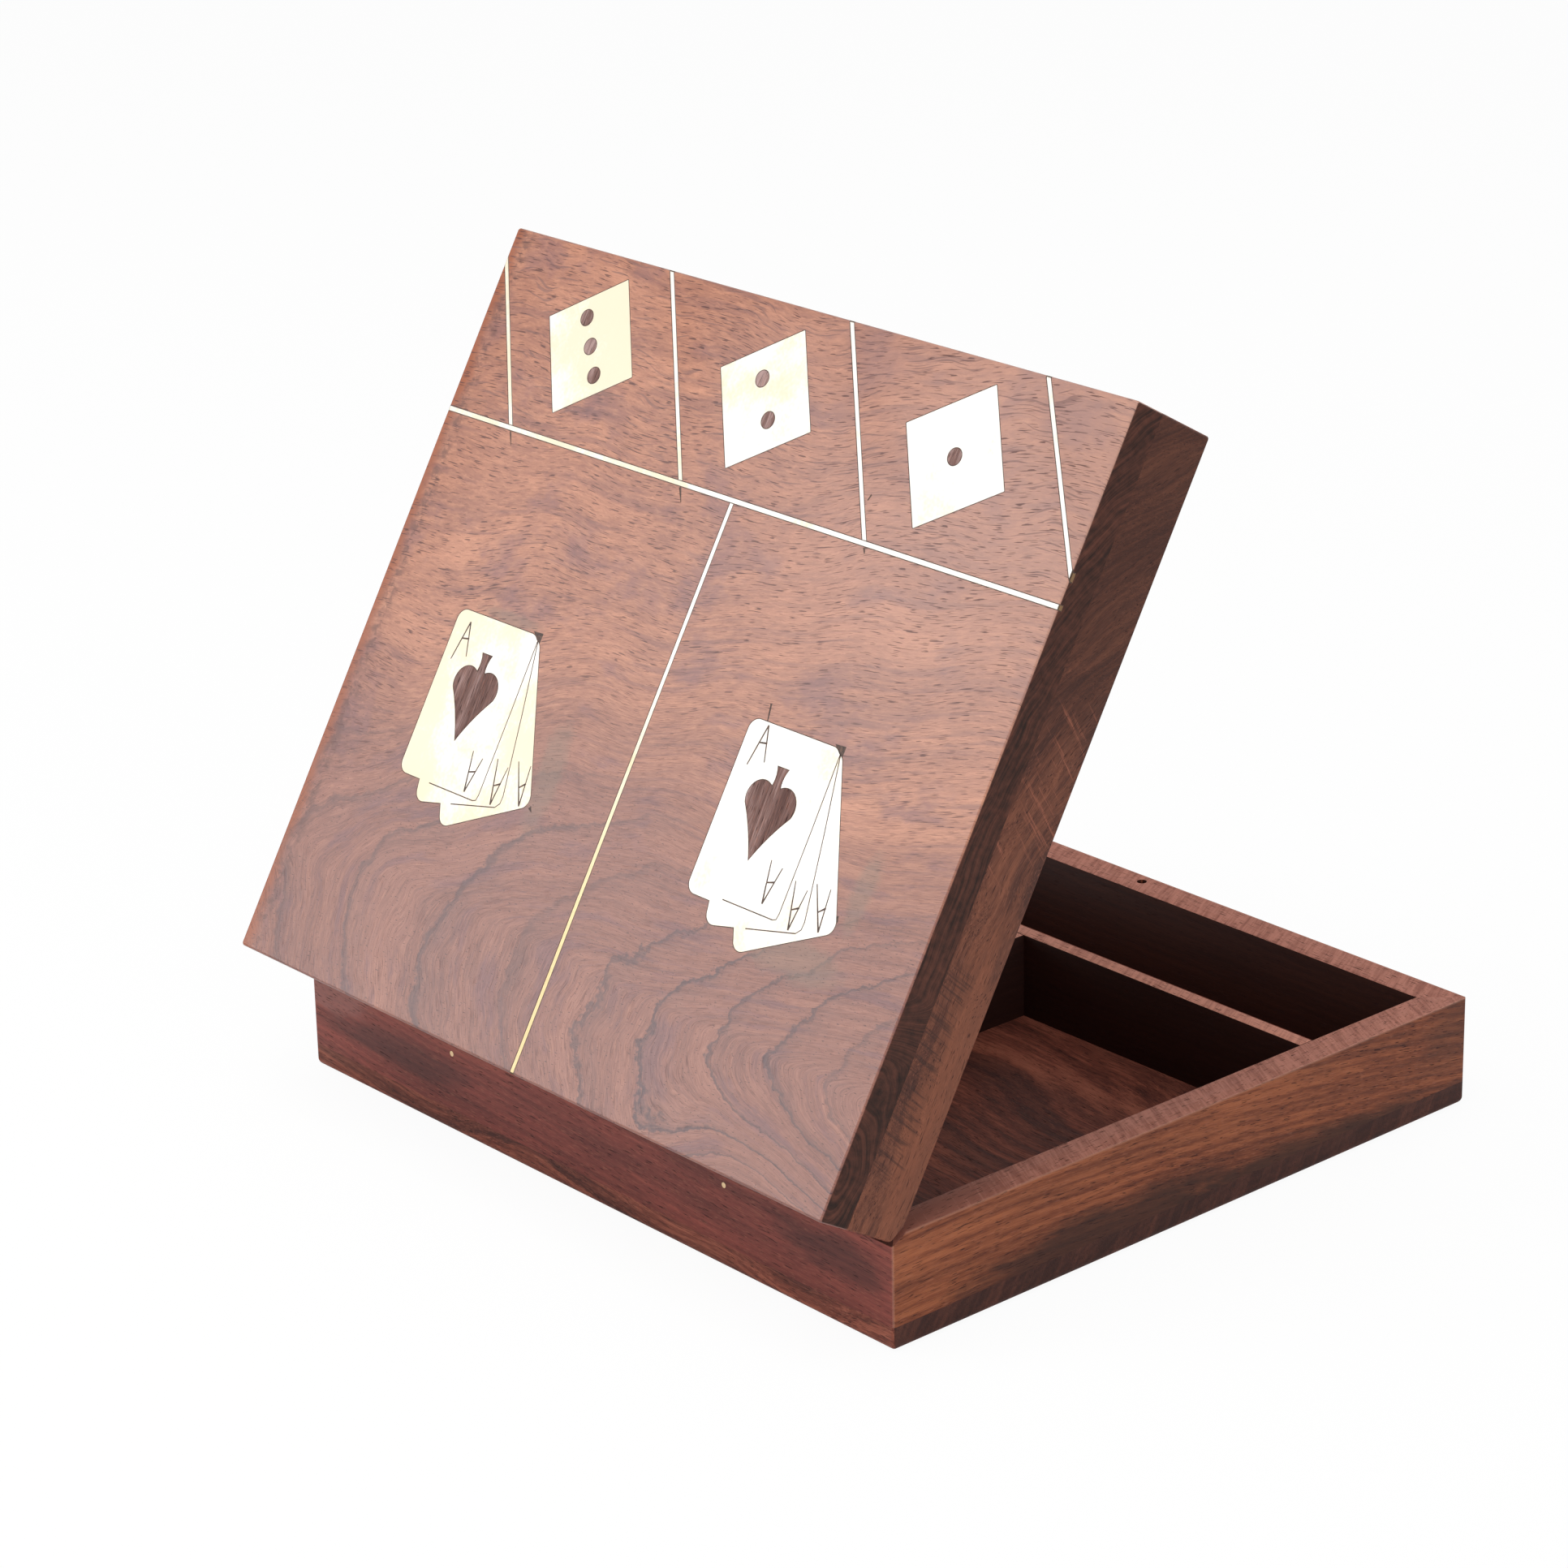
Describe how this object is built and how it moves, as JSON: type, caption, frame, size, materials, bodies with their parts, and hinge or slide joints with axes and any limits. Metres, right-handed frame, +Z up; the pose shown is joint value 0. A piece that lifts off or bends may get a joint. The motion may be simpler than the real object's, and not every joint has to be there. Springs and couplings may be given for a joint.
{
  "type": "playing card box",
  "caption": "Mitred rosewood box with a thick hinged lid inlaid in brass, open card bays and a dice channel along the front.",
  "frame": {"origin": "middle of the underside", "axes": "+X along the hinge line to the user's right, +Y towards the hinge wall, +Z up"},
  "size_m": [0.156, 0.1529, 0.1473],
  "materials": {
    "lid_wood": "semi-gloss polished rosewood",
    "rail_wood": "satin rosewood",
    "wall_wood": "satin rosewood",
    "divider_wood": "satin rosewood",
    "board_wood": "satin rosewood",
    "inlay_wood": "polished rosewood",
    "inlay_brass": "brushed brass, flush with the wood",
    "hinge_brass": "satin brass"
  },
  "bodies": {
    "base": {"bottom_board": "board_wood", "hinge_wall": "wall_wood", "front_wall": "wall_wood", "left_wall": "wall_wood", "right_wall": "wall_wood", "dice_divider": "divider_wood", "card_divider": "divider_wood", "base_leaf_left": "hinge_brass", "base_leaf_right": "hinge_brass", "hinge_pin_left": "hinge_brass", "hinge_pin_right": "hinge_brass", "base_cross_pins": "hinge_brass"},
    "lid": {"lid_board": "lid_wood", "lid_rear_rail": "rail_wood", "lid_front_rail": "rail_wood", "lid_left_rail": "rail_wood", "lid_right_rail": "rail_wood", "long_line": "inlay_brass", "centre_line": "inlay_brass", "slanted_lines": "inlay_brass", "dice_plate_one": "inlay_brass", "dice_plate_two": "inlay_brass", "dice_plate_three": "inlay_brass", "dice_pips": "inlay_wood", "card_fan_left": "inlay_brass", "card_fan_right": "inlay_brass", "spade_left": "inlay_wood", "spade_right": "inlay_wood", "lid_leaf_left": "hinge_brass", "lid_leaf_right": "hinge_brass", "lid_cross_pins": "hinge_brass", "closing_pin": "hinge_brass"}
  },
  "joints": [
    {"name": "lid_hinge", "type": "hinge", "parent": "base", "child": "lid", "pos_m": [0, 0.0672, 0.02045], "axis": [-1, 0, 0], "range_deg": [-59.75, 27.75]}
  ]
}
